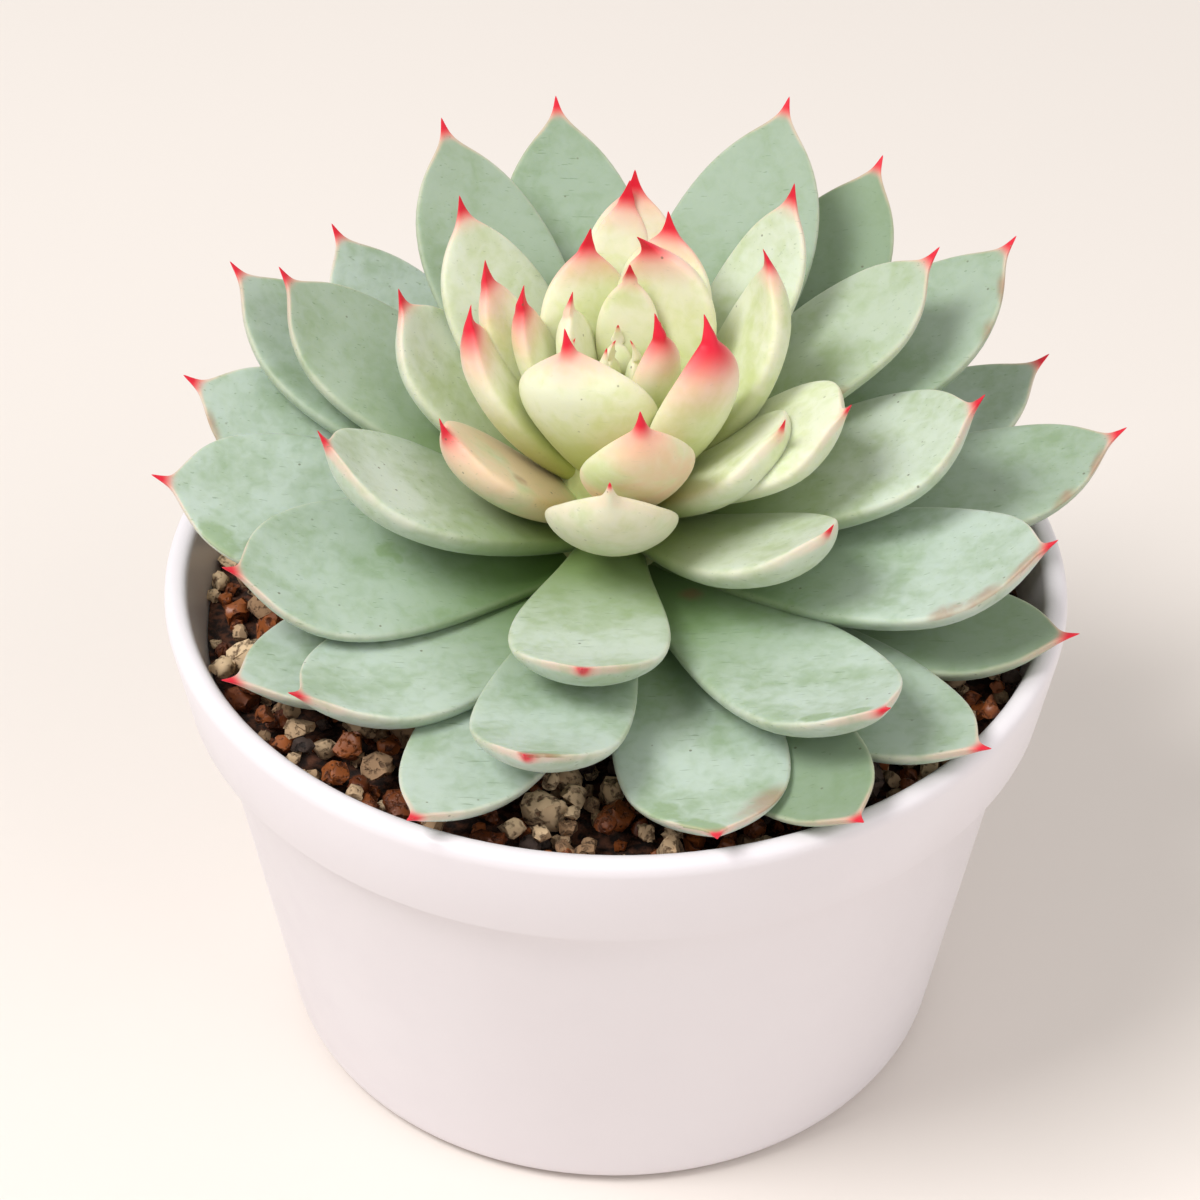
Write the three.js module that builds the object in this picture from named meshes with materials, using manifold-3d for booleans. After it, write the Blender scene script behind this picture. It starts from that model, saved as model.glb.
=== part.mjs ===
// A potted echeveria: a rosette of thick pointed leaves on a short stem, standing in gritty soil
// in a round white plastic pot. Sizes are in mm. The pot stands on z = 0, its axis is the z axis,
// and the side that faces a viewer is -y.

import * as THREE from 'three';
import { mergeVertices } from 'three/addons/utils/BufferGeometryUtils.js';
import Module from 'manifold-3d';

const wasm = await Module();
wasm.setup();

// Pot
const POT_HEIGHT = 65.3;
const RIM_RADIUS = 55;
const LIP_WIDTH = 3;
const LIP_ROUNDING = 1.8;
const COLLAR_HEIGHT = 13.5;
const COLLAR_STEP = 0.6;
const COLLAR_FOOT_RADIUS = 53.1;
const BODY_TOP_RADIUS = 50.4;
const BASE_RADIUS = 41.9;
const BASE_CORNER = 3;
const WALL = 2.2;
const SHOULDER_DROP = 4;
const FLOOR = 3;
const POT_SIDES = 36;

// Drainage: a ring of holes in a shallow channel under the base, clear of its flat middle
const DRAIN_RING_RADIUS = 26;
const DRAIN_HOLE_RADIUS = 3;
const DRAIN_HOLES = 6;
const DRAIN_HOLE_SIDES = 10;
const CHANNEL_HALF_WIDTH = 5.5;
const CHANNEL_DEPTH = 1.2;

// Soil: a packed bed with loose grains lying on it
const GAP = 0.3;
const BED_HEIGHT = 59.3;
const GRAINS = 84;
const SMALLEST_GRAIN_RADIUS = 2.6;
const LARGEST_GRAIN_RADIUS = 3.6;
const GRAIN_FLATNESS = 0.85;
const GRAIN_WEAR = 0.22;
const GRAIN_TILT = 30;
const LOWEST_GRAIN_TOP = 1.6;
const HIGHEST_GRAIN_TOP = 2.3;
const GRAIN_FIELD_INNER = 21;
const GRAIN_SEED = 11;

// Stem, standing in a plain hole in the soil, with the unopened leaves of the heart on its top
const STEM_FOOT = 38;
const STEM_TOP = 89;
const STEM_RADIUS = 8;
const STEM_TOP_RADIUS = 1.8;
const STEM_FOOT_CHAMFER = 1.5;
const STEM_SIDES = 12;
const HEART_LEAVES = 7;
const HEART_OUTER = { rise: 68, length: 15, width: 5, thickness: 2.6, root: 84, reach: 1.6 };
const HEART_INNER = { rise: 84, length: 11, width: 3, thickness: 1.8, root: 87, reach: 0 };
const HEART_CURL = 14;
const HEART_BLUNT = 0.2;
const HEART_TURN = 40;

// Leaves: the root of each one stands on the stem, higher the younger the leaf is
const LOWEST_ROOT = 65;
const HIGHEST_ROOT = 83;
const ROOT_CROWDING = 1.6;
const ROOT_REACH = 3;
const THIN = 1.6;
const THICKER_WITH_WIDTH = 0.2;
const ABOVE_MARGINS = 0.18;
const HOLLOW = 0.1;
const TIP_UPTURN = 0.075;
const TIP_UPTURN_FROM = 0.7;
const SPIKE = 2.8;
const SPIKE_FOOT_WIDTH = 1.8;
const SPIKE_FOOT_THICKNESS = 0.9;
const SPIKE_ROOM = 4;

const DEGREE = Math.PI / 180;
const GOLDEN_ANGLE = 137.5;
const WELD = 0.001;

// The outline of a leaf without its spike. Width and thickness are fractions of the leaf's own,
// at a fraction of the way from root to spike, for a long pointed leaf and for a blunt one. The
// foot of the spike comes after them.
const STATIONS = [
  { at: 0, pointed: 0.36, blunt: 0.36, thick: 0.55 },
  { at: 0.28, pointed: 0.67, blunt: 0.6, thick: 0.93 },
  { at: 0.52, pointed: 0.95, blunt: 0.89, thick: 1 },
  { at: 0.7, pointed: 0.97, blunt: 1, thick: 0.9 },
  { at: 0.84, pointed: 0.77, blunt: 0.93, thick: 0.76 },
  { at: 0.93, pointed: 0.46, blunt: 0.66, thick: 0.56 },
];

// Where the points of a cross-section lie between the leaf's middle (0) and its margins (1)
const UPPER_FACE = [1, 0.5, -0.5, -1];
const UNDERSIDE = [-0.6, 0, 0.6];

// The leaves, oldest first. Turn is the direction a leaf points in, counted from +x towards +y,
// and rise is how steeply its tip stands above its root. Curl bends a leaf upwards along its
// length, sweep bends it sideways, and roll tips it about its length. All five are in degrees.
// Blunt is 0 for a long pointed end and 1 for a broad one; below 0 the end is drawn out further.
const LEAVES = [
  { turn: 44, rise: 5, length: 52, width: 20, blunt: 0.4 },
  { turn: 92, rise: 6, length: 53, width: 21, blunt: 0.3 },
  { turn: 142, rise: 6, length: 52, width: 20, blunt: 0.4 },
  { turn: 71, rise: 10, length: 55, width: 20, blunt: 0.3, curl: 3 },
  { turn: 115, rise: 11, length: 54, width: 21, blunt: 0.3, curl: 3 },
  { turn: 247, rise: 1, length: 55, width: 18, blunt: 0.2, curl: -4, sweep: 6 },
  { turn: 213, rise: 1, length: 51, width: 21, blunt: 0.2, curl: -5 },
  { turn: 298, rise: 1.5, length: 57.5, width: 16.5, blunt: 0.8, roll: 14 },
  { turn: 340, rise: 1, length: 55, width: 20, blunt: 0.5 },
  { turn: 316, rise: 1, length: 56, width: 19, blunt: 0.5, curl: -2 },
  { turn: 168, rise: 17, length: 54, width: 19, blunt: 0.6, curl: -2, roll: -21 },
  { turn: 27, rise: 7, length: 59, width: 20, blunt: 0.3, curl: -3 },
  { turn: 135, rise: 22, length: 54, width: 19, blunt: 0.4 },
  { turn: 282, rise: -1, length: 53.5, width: 20.5, blunt: 1, sweep: 18, roll: 5 },
  { turn: 184, rise: 11, length: 54, width: 22.5, blunt: 1, curl: -10, roll: -13 },
  { turn: 8, rise: 8, length: 61, width: 21, blunt: 0.7, curl: 4 },
  { turn: 225, rise: 4, length: 50, width: 21.5, blunt: 0.2, curl: 12, sweep: 8 },
  { turn: 57, rise: 18, length: 64, width: 20, blunt: 0.3, curl: 5 },
  { turn: 99, rise: 27, length: 60, width: 20.5, blunt: 0.1 },
  { turn: 154, rise: 22, length: 56, width: 22, blunt: 0.2, curl: 2 },
  { turn: 259.5, rise: 8, length: 52.5, width: 18.5, blunt: 1, curl: 19 },
  { turn: 203, rise: 8.5, length: 48, width: 23, blunt: 0.5, curl: 3, roll: -13 },
  { turn: 304, rise: 8, length: 53, width: 20.5, blunt: 0.7, curl: 15 },
  { turn: 339, rise: 12, length: 54, width: 23, blunt: 0.7, curl: 14, sweep: -6, roll: 3 },
  { turn: 30, rise: 21, length: 59, width: 22, blunt: 0.2 },
  { turn: 67, rise: 28, length: 60, width: 21, blunt: 0.1, curl: 6, roll: 4 },
  { turn: 120, rise: 35, length: 54, width: 19, blunt: 0.2, curl: 5 },
  { turn: 157, rise: 27, length: 49, width: 21, blunt: 0.4, curl: 6 },
  { turn: 265, rise: 12, length: 40.5, width: 19, blunt: 1, curl: 8, sweep: -5 },
  { turn: 198, rise: 28, length: 40, width: 21, blunt: 0.4, curl: 18, sweep: 5 },
  { turn: 0, rise: 21, length: 45, width: 23, blunt: 0.5, curl: 15 },
  { turn: 27, rise: 29, length: 48, width: 17, blunt: 0.7, curl: -8, sweep: 6 },
  { turn: 316, rise: 24, length: 36, width: 17, blunt: 0.4, curl: 24 },
  { turn: 158, rise: 40, length: 36, width: 17, blunt: 0.4, curl: 20 },
  { turn: 47, rise: 45, length: 43, width: 13, blunt: 0.4, curl: 16, roll: -3 },
  { turn: 132, rise: 45, length: 40, width: 16, blunt: 0, curl: 8, sweep: 5 },
  { turn: 206, rise: 40, length: 28, width: 15.5, blunt: 0.3, curl: 12 },
  { turn: 268, rise: 40, length: 30, width: 17.5, blunt: 0.1, curl: 28 },
  { turn: 341, rise: 35, length: 33, width: 17.5, blunt: 1.1, sweep: 18, roll: 10 },
  { turn: 330, rise: 41, length: 27.5, width: 16.5, blunt: 0.7, curl: 10, sweep: 8, roll: 5 },
  { turn: 21, rise: 60, length: 35.5, width: 15.5, blunt: 0, curl: 40, sweep: -11, roll: -7 },
  { turn: 85, rise: 60, length: 37, width: 13, blunt: 0.3, curl: 12 },
  { turn: 87, rise: 61, length: 35.5, width: 9.5, blunt: 0.1, curl: 13, sweep: 12, roll: 4 },
  { turn: 68, rise: 63, length: 32, width: 14, blunt: 0.1, curl: 8, sweep: -8, roll: -4 },
  { turn: 155, rise: 57, length: 30, width: 10, blunt: 0.1, curl: 6, sweep: 3 },
  { turn: 181, rise: 56, length: 29, width: 12.5, blunt: 0.1, curl: 25, sweep: 8 },
  { turn: 277, rise: 49, length: 30.5, width: 14, blunt: 0, curl: 31, sweep: 5, roll: 3 },
  { turn: 167, rise: 67, length: 26, width: 9, blunt: 0, curl: 8 },
  { turn: 108, rise: 68, length: 28, width: 13, blunt: -0.3, curl: 6, sweep: 15, roll: 4 },
  { turn: 72, rise: 79, length: 30, width: 14, blunt: 0.1, curl: 40, sweep: -45, roll: -8 },
  { turn: 322, rise: 67, length: 29, width: 13, blunt: -0.4, curl: 50, sweep: -4, roll: -8 },
  { turn: 235, rise: 69, length: 25, width: 18, blunt: -0.7, curl: 8, sweep: 18, roll: 14 },
  { turn: 319, rise: 80, length: 22.5, width: 8.5, blunt: 0, curl: 6 },
  { turn: 77, rise: 83, length: 23.5, width: 8, blunt: 0, curl: 4, roll: 7 },
  { turn: 154, rise: 77, length: 20, width: 8.5, blunt: 0.2, curl: -8, roll: 9 },
];

const STRAIGHT = { curl: 0, sweep: 0, roll: 0 };

function seededRandom(seed) {
  let state = seed;
  return () => {
    state = (state * 1664525 + 1013904223) % 4294967296;
    return state / 4294967296;
  };
}

// A closed geometry as a solid that can be joined and cut
function solidOf(geometry) {
  geometry.deleteAttribute('normal');
  geometry.deleteAttribute('uv');
  const merged = mergeVertices(geometry);
  return new wasm.Manifold(new wasm.Mesh({
    numProp: 3,
    vertProperties: merged.getAttribute('position').array,
    triVerts: new Uint32Array(merged.index.array),
  }));
}

// A profile of radius and height turned round the z axis
function turned(profile, sides) {
  const geometry = new THREE.LatheGeometry(profile, sides);
  geometry.rotateX(Math.PI / 2);
  return solidOf(geometry);
}

// The named mesh of a solid
function meshOf(name, solid, material) {
  const { vertProperties, triVerts } = solid.getMesh();
  const geometry = new THREE.BufferGeometry();
  geometry.setAttribute('position', new THREE.BufferAttribute(vertProperties, 3));
  geometry.setIndex(new THREE.BufferAttribute(triVerts, 1));
  geometry.computeVertexNormals();
  const mesh = new THREE.Mesh(geometry, material);
  mesh.name = name;
  return mesh;
}

// The radius of the pot's outer wall at a height on its body
function bodyRadius(height) {
  const collarFoot = POT_HEIGHT - COLLAR_HEIGHT;
  return BASE_RADIUS + (BODY_TOP_RADIUS - BASE_RADIUS) * height / collarFoot;
}

// The inner wall from the lip down to the floor, as points of radius and height
function innerWall() {
  const shoulder = POT_HEIGHT - COLLAR_HEIGHT - SHOULDER_DROP;
  return [
    new THREE.Vector2(RIM_RADIUS - LIP_WIDTH, POT_HEIGHT - LIP_ROUNDING),
    new THREE.Vector2(bodyRadius(shoulder) - WALL, shoulder),
    new THREE.Vector2(bodyRadius(FLOOR) - WALL, FLOOR),
  ];
}

function makePot() {
  const collarFoot = POT_HEIGHT - COLLAR_HEIGHT;
  const profile = new THREE.Path();
  profile.moveTo(0, 0);
  profile.lineTo(DRAIN_RING_RADIUS - CHANNEL_HALF_WIDTH, 0);
  profile.lineTo(DRAIN_RING_RADIUS - CHANNEL_HALF_WIDTH, CHANNEL_DEPTH);
  profile.lineTo(DRAIN_RING_RADIUS + CHANNEL_HALF_WIDTH, CHANNEL_DEPTH);
  profile.lineTo(DRAIN_RING_RADIUS + CHANNEL_HALF_WIDTH, 0);
  profile.lineTo(BASE_RADIUS - BASE_CORNER, 0);
  profile.quadraticCurveTo(BASE_RADIUS, 0, bodyRadius(BASE_CORNER), BASE_CORNER);
  profile.lineTo(BODY_TOP_RADIUS, collarFoot);
  profile.lineTo(COLLAR_FOOT_RADIUS, collarFoot + COLLAR_STEP);
  profile.lineTo(RIM_RADIUS, POT_HEIGHT - LIP_ROUNDING);
  profile.quadraticCurveTo(RIM_RADIUS, POT_HEIGHT, RIM_RADIUS - LIP_WIDTH / 2, POT_HEIGHT);
  const [lip, shoulder, floor] = innerWall();
  profile.quadraticCurveTo(lip.x, POT_HEIGHT, lip.x, lip.y);
  profile.lineTo(shoulder.x, shoulder.y);
  profile.lineTo(floor.x, floor.y);
  profile.lineTo(0, FLOOR);
  let pot = turned(profile.getPoints(2), POT_SIDES);
  for (let hole = 0; hole < DRAIN_HOLES; hole++) {
    const drill = new THREE.CylinderGeometry(DRAIN_HOLE_RADIUS, DRAIN_HOLE_RADIUS, 4 * FLOOR,
      DRAIN_HOLE_SIDES);
    drill.rotateX(Math.PI / 2);
    drill.translate(DRAIN_RING_RADIUS, 0, 0);
    drill.rotateZ(hole * 2 * Math.PI / DRAIN_HOLES);
    pot = pot.subtract(solidOf(drill));
  }
  return pot;
}

// One grain of the soil: a lump with a few flat faces, each corner worn in by chance
function makeGrain(radius, random) {
  const grain = new THREE.IcosahedronGeometry(radius, 0);
  grain.deleteAttribute('normal');
  grain.deleteAttribute('uv');
  const lump = mergeVertices(grain);
  const corners = lump.getAttribute('position');
  for (let corner = 0; corner < corners.count; corner++) {
    const worn = 1 - GRAIN_WEAR * random();
    corners.setXYZ(corner, corners.getX(corner) * worn, corners.getY(corner) * worn,
      corners.getZ(corner) * worn * GRAIN_FLATNESS);
  }
  lump.rotateX(GRAIN_TILT * DEGREE * random());
  lump.rotateZ(2 * Math.PI * random());
  return lump;
}

function makeSoil() {
  const [lip, shoulder, floor] = innerWall();
  const upTheWall = (BED_HEIGHT - shoulder.y) / (lip.y - shoulder.y);
  const bedRadius = THREE.MathUtils.lerp(shoulder.x, lip.x, upTheWall) - GAP;
  const holeRadius = STEM_RADIUS + GAP;
  const profile = [
    new THREE.Vector2(0, FLOOR + GAP),
    new THREE.Vector2(floor.x - GAP, FLOOR + GAP),
    new THREE.Vector2(shoulder.x - GAP, shoulder.y),
    new THREE.Vector2(bedRadius, BED_HEIGHT),
    new THREE.Vector2(holeRadius, BED_HEIGHT),
    new THREE.Vector2(holeRadius, STEM_FOOT - GAP),
    new THREE.Vector2(0, STEM_FOOT - GAP),
  ];
  let soil = turned(profile, POT_SIDES);
  const random = seededRandom(GRAIN_SEED);
  for (let n = 0; n < GRAINS; n++) {
    const radius = THREE.MathUtils.lerp(SMALLEST_GRAIN_RADIUS, LARGEST_GRAIN_RADIUS, random());
    const grain = makeGrain(radius, random);
    const top = THREE.MathUtils.lerp(LOWEST_GRAIN_TOP, HIGHEST_GRAIN_TOP, random());
    const area = (n + random()) / GRAINS;
    const reach = Math.sqrt(THREE.MathUtils.lerp(GRAIN_FIELD_INNER ** 2, (bedRadius - radius) ** 2, area));
    grain.translate(reach, 0, BED_HEIGHT + top - radius * GRAIN_FLATNESS);
    grain.rotateZ(n * GOLDEN_ANGLE * DEGREE);
    soil = soil.add(solidOf(grain));
  }
  return soil;
}

// One leaf as a closed solid in its own place. Grow makes it larger all round by that much,
// for the clearance that it leaves in the leaves beneath it.
function makeLeaf(leaf, grow) {
  const upturn = (y) => {
    const share = Math.max(0, (y / leaf.length - TIP_UPTURN_FROM) / (1 - TIP_UPTURN_FROM));
    return TIP_UPTURN * leaf.length * share ** 2;
  };
  const sections = STATIONS.map(({ at, pointed, blunt, thick }) => ({
    at,
    width: THREE.MathUtils.lerp(pointed, blunt, leaf.blunt) * leaf.width,
    thickness: thick * leaf.thickness,
  }));
  sections.push({ at: 1, width: SPIKE_FOOT_WIDTH, thickness: SPIKE_FOOT_THICKNESS });
  const rings = sections.map(({ at, width, thickness }) => {
    const half = width / 2 + grow;
    const y = at === 0 ? -grow : at * (leaf.length - SPIKE);
    const middle = (u) => upturn(y) + HOLLOW * half * u * u;
    const fullness = (u) => thickness * Math.sqrt(1 - u * u);
    const upper = UPPER_FACE.map((u) => new THREE.Vector3(u * half, y,
      middle(u) + ABOVE_MARGINS * fullness(u) + (Math.abs(u) < 1 ? grow : 0)));
    const under = UNDERSIDE.map((u) => new THREE.Vector3(u * half, y,
      middle(u) - (1 - ABOVE_MARGINS) * fullness(u) - grow));
    return [...upper, ...under];
  });
  const spike = new THREE.Vector3(0, leaf.length + SPIKE_ROOM * grow, upturn(leaf.length));
  const points = [...rings.flat(), spike];
  for (const point of points) placeOnLeaf(point, leaf);
  const around = rings[0].length;
  const tip = points.length - 1;
  const triangles = [];
  for (let ring = 0; ring + 1 < rings.length; ring++) {
    for (let k = 0; k < around; k++) {
      const a = ring * around + k;
      const b = ring * around + (k + 1) % around;
      triangles.push(a, a + around, b, b, a + around, b + around);
    }
  }
  for (let k = 0; k < around; k++) {
    const last = (rings.length - 1) * around;
    triangles.push(last + k, tip, last + (k + 1) % around);
  }
  for (let k = 1; k + 1 < around; k++) triangles.push(0, k, k + 1);
  const geometry = new THREE.BufferGeometry();
  geometry.setAttribute('position',
    new THREE.Float32BufferAttribute(points.flatMap((point) => point.toArray()), 3));
  geometry.setIndex(triangles);
  return solidOf(geometry);
}

// Bends a point of the straight leaf, which lies along +y from its root, and puts it in its place
function placeOnLeaf(point, leaf) {
  const sweep = leaf.sweep * DEGREE;
  if (sweep !== 0) {
    const radius = leaf.length / sweep;
    const angle = point.y / radius;
    const toPoint = radius - point.x;
    point.set(radius - toPoint * Math.cos(angle), toPoint * Math.sin(angle), point.z);
    point.applyAxisAngle(new THREE.Vector3(0, 0, 1), sweep / 2);
  }
  const curl = leaf.curl * DEGREE;
  if (curl !== 0) {
    const radius = leaf.length / curl;
    const angle = point.y / radius;
    const toPoint = radius - point.z;
    point.set(point.x, toPoint * Math.sin(angle), radius - toPoint * Math.cos(angle));
    point.applyAxisAngle(new THREE.Vector3(1, 0, 0), -curl / 2);
  }
  point.applyAxisAngle(new THREE.Vector3(0, 1, 0), leaf.roll * DEGREE);
  point.applyAxisAngle(new THREE.Vector3(1, 0, 0), leaf.rise * DEGREE);
  point.y += leaf.reach;
  point.applyAxisAngle(new THREE.Vector3(0, 0, 1), (leaf.turn - 90) * DEGREE);
  point.z += leaf.root;
}

// The largest single piece of a solid: what a cut leaves of a leaf beyond it falls away
function largestPiece(solid) {
  const { vertProperties, triVerts } = solid.getMesh();
  const loose = new THREE.BufferGeometry();
  loose.setAttribute('position', new THREE.BufferAttribute(vertProperties, 3));
  loose.setIndex(new THREE.BufferAttribute(triVerts, 1));
  const whole = mergeVertices(loose, WELD);
  const corners = whole.index.array;
  const owner = Array.from({ length: corners.length / 3 }, (_, triangle) => triangle);
  const find = (triangle) => {
    let root = triangle;
    while (owner[root] !== root) root = owner[root];
    return root;
  };
  const besideEdge = new Map();
  owner.forEach((_, triangle) => {
    for (let k = 0; k < 3; k++) {
      const ends = [corners[3 * triangle + k], corners[3 * triangle + (k + 1) % 3]];
      const edge = `${Math.min(...ends)} ${Math.max(...ends)}`;
      if (besideEdge.has(edge)) owner[find(triangle)] = find(besideEdge.get(edge));
      else besideEdge.set(edge, triangle);
    }
  });
  const pieces = new Map();
  owner.forEach((_, triangle) => {
    const piece = find(triangle);
    if (!pieces.has(piece)) pieces.set(piece, []);
    pieces.get(piece).push(...corners.slice(3 * triangle, 3 * triangle + 3));
  });
  const solids = [...pieces.values()].map((triangles) => {
    const geometry = new THREE.BufferGeometry();
    geometry.setAttribute('position', whole.getAttribute('position'));
    geometry.setIndex(triangles);
    return solidOf(geometry.toNonIndexed());
  });
  return solids.reduce((best, next) => (next.volume() > best.volume() ? next : best));
}

function makeStem(grow = 0) {
  const side = STEM_RADIUS + grow;
  const profile = new THREE.Path();
  profile.moveTo(0, STEM_FOOT);
  profile.lineTo(side - STEM_FOOT_CHAMFER, STEM_FOOT);
  profile.lineTo(side, STEM_FOOT + STEM_FOOT_CHAMFER);
  profile.lineTo(side, LOWEST_ROOT);
  profile.quadraticCurveTo(side, HIGHEST_ROOT, STEM_TOP_RADIUS + grow, STEM_TOP + grow);
  profile.lineTo(0, STEM_TOP + grow);
  return turned(profile.getPoints(3), STEM_SIDES);
}

// The boxes of two solids in space meet, so one may lie in the other
function mayTouch(first, second) {
  return ['x', 'y', 'z'].every((axis) =>
    first.min[axis] <= second.max[axis] && second.min[axis] <= first.max[axis]);
}

function boxOf(solid) {
  const { vertProperties } = solid.getMesh();
  return new THREE.Box3().setFromArray(vertProperties);
}

// The unopened leaves of the heart, small and nearly upright, in a spiral round the stem's top
function heartLeaf(n) {
  const leaf = { ...STRAIGHT, curl: HEART_CURL, blunt: HEART_BLUNT, turn: HEART_TURN + n * GOLDEN_ANGLE };
  for (const [size, outer] of Object.entries(HEART_OUTER)) {
    leaf[size] = THREE.MathUtils.lerp(outer, HEART_INNER[size], n / (HEART_LEAVES - 1));
  }
  return leaf;
}

const potSkin = new THREE.MeshStandardMaterial({ color: 0xf4f3f1, roughness: 0.35, metalness: 0 });
const grit = new THREE.MeshStandardMaterial({ color: 0x9a7a5c, roughness: 0.95, metalness: 0 });
const stemSkin = new THREE.MeshStandardMaterial({ color: 0xd8e0a4, roughness: 0.6, metalness: 0 });
const oldLeafColour = new THREE.Color(0xa9c4b0);
const youngLeafColour = new THREE.Color(0xe6e6b4);

const potted = new THREE.Group();
potted.add(meshOf('pot', makePot(), potSkin));
potted.add(meshOf('soil', makeSoil(), grit));

let stem = makeStem();
let clearance = makeStem(GAP);
for (let n = 0; n < HEART_LEAVES; n++) {
  stem = stem.add(makeLeaf(heartLeaf(n), 0));
  clearance = clearance.add(makeLeaf(heartLeaf(n), GAP));
}
potted.add(meshOf('stem', stem, stemSkin));

// Youngest first: a leaf is cut back by the stem and by every younger leaf that presses on it
const inside = [{ solid: clearance, box: boxOf(clearance) }];
for (let age = LEAVES.length - 1; age >= 0; age--) {
  const youth = age / (LEAVES.length - 1);
  const leaf = {
    ...STRAIGHT,
    ...LEAVES[age],
    thickness: THIN + THICKER_WITH_WIDTH * LEAVES[age].width,
    root: LOWEST_ROOT + (HIGHEST_ROOT - LOWEST_ROOT) * youth ** ROOT_CROWDING,
    reach: ROOT_REACH,
  };
  let solid = makeLeaf(leaf, 0);
  const box = boxOf(solid);
  for (const younger of inside) {
    if (mayTouch(box, younger.box)) solid = solid.subtract(younger.solid);
  }
  solid = largestPiece(solid);
  const room = makeLeaf(leaf, GAP);
  inside.push({ solid: room, box: boxOf(room) });
  const skin = new THREE.MeshStandardMaterial({
    color: oldLeafColour.clone().lerp(youngLeafColour, youth), roughness: 0.6, metalness: 0,
  });
  potted.add(meshOf(`leaf_${String(age + 1).padStart(2, '0')}`, solid, skin));
}

export default potted;
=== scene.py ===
import math
import random

import bpy
import numpy as np
from mathutils import Matrix, Vector


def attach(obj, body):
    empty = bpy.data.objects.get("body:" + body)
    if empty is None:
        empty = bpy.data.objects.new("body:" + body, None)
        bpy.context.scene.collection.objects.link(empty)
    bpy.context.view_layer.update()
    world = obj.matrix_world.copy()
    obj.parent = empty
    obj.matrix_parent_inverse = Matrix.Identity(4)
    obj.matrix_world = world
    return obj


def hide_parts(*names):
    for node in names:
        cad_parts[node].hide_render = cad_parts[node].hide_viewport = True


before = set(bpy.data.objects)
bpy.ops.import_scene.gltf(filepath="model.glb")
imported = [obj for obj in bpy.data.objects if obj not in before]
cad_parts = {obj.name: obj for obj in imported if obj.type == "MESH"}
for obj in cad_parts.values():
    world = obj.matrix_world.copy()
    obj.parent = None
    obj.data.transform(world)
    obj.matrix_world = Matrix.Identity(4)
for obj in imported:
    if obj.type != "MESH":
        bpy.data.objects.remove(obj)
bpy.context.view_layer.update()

MM = 0.001

# Camera
# The plant is seen from the front and above, from a little over 40 cm away, through a long lens.
# The pot stands slightly to the right of the picture's middle, and leans by under a degree.
CAMERA_RISE = 38.4
CAMERA_DISTANCE = 431 * MM
CAMERA_AIM = Vector((0, 0, 59.3 * MM))
CAMERA_LENS = 105
CAMERA_LEAN = 0.7
POT_RIGHT_OF_MIDDLE = 0.0132

rise = math.radians(CAMERA_RISE)
towards_camera = Vector((0, -math.cos(rise), math.sin(rise)))
camera = bpy.data.objects.new("camera", bpy.data.cameras.new("camera"))
bpy.context.scene.collection.objects.link(camera)
camera.data.lens = CAMERA_LENS
camera.data.shift_x = -POT_RIGHT_OF_MIDDLE
camera.data.clip_start = 10 * MM
place = Matrix.Translation(CAMERA_AIM + CAMERA_DISTANCE * towards_camera)
turn = towards_camera.to_track_quat("Z", "Y").to_matrix().to_4x4()
camera.matrix_world = place @ turn @ Matrix.Rotation(math.radians(CAMERA_LEAN), 4, "Z")
bpy.context.scene.camera = camera

# Studio
# A plain pale floor and three soft lights: a broad one high on the left, a weaker one on the
# right and one from behind, with an even pale sky.
FLOOR_SIZE = 3
FLOOR_COLOUR = (0.8, 0.74, 0.69, 1)
FLOOR_CLOUDS = 400 * MM
CLOUD_DARKNESS = 0.97
SKY_COLOUR = (1, 0.98, 0.96, 1)
SKY_STRENGTH = 0.56
LIGHTS = {
    "key": ((-0.55, -0.3, 1.0), 0.45, 10),
    "fill": ((0.7, -0.5, 0.7), 0.8, 2.9),
    "back": ((0.2, 0.9, 0.8), 0.6, 0.6),
}


def clear_selection():
    if bpy.context.mode != "OBJECT":
        bpy.ops.object.mode_set(mode="OBJECT")
    bpy.ops.object.select_all(action="DESELECT")


def new_finish(name, **constants):
    """A material, and its surface shader with the values that are the same all over."""
    finish = bpy.data.materials.new(name)
    finish.use_nodes = True
    shader = finish.node_tree.nodes["Principled BSDF"]
    for socket, value in constants.items():
        shader.inputs[socket.replace("_", " ")].default_value = value
    return finish, shader


def node(finish, kind, sockets, **settings):
    """A node whose sockets are set, or linked where the value is another node's output."""
    made = finish.node_tree.nodes.new("ShaderNode" + kind)
    for setting, value in settings.items():
        setattr(made, setting, value)
    for socket, value in sockets.items():
        if isinstance(value, bpy.types.NodeSocket):
            finish.node_tree.links.new(value, made.inputs[socket])
        else:
            made.inputs[socket].default_value = value
    return made


def noise(finish, where, size, detail=2.0, distortion=0.0):
    """Cloudy values from 0 to 1 whose clouds are about this many metres across."""
    sockets = {"Vector": where, "Scale": 1 / size, "Detail": detail, "Distortion": distortion}
    return node(finish, "TexNoise", sockets).outputs[0]


def ramp(finish, value, low, high, low_out=0.0, high_out=1.0):
    """Goes smoothly from one value to another while the input goes from low to high."""
    sockets = {"Value": value, "From Min": low, "From Max": high}
    sockets.update({"To Min": low_out, "To Max": high_out})
    return node(finish, "MapRange", sockets, interpolation_type="SMOOTHSTEP").outputs[0]


def calc(finish, operation, first, second):
    return node(finish, "Math", {0: first, 1: second}, operation=operation).outputs[0]


def blend_colours(finish, share, first, second):
    made = node(finish, "Mix", {"Factor": share}, data_type="RGBA")
    for socket, value in ((6, first), (7, second)):
        if isinstance(value, bpy.types.NodeSocket):
            finish.node_tree.links.new(value, made.inputs[socket])
        else:
            made.inputs[socket].default_value = value
    return made.outputs[2]


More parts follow.
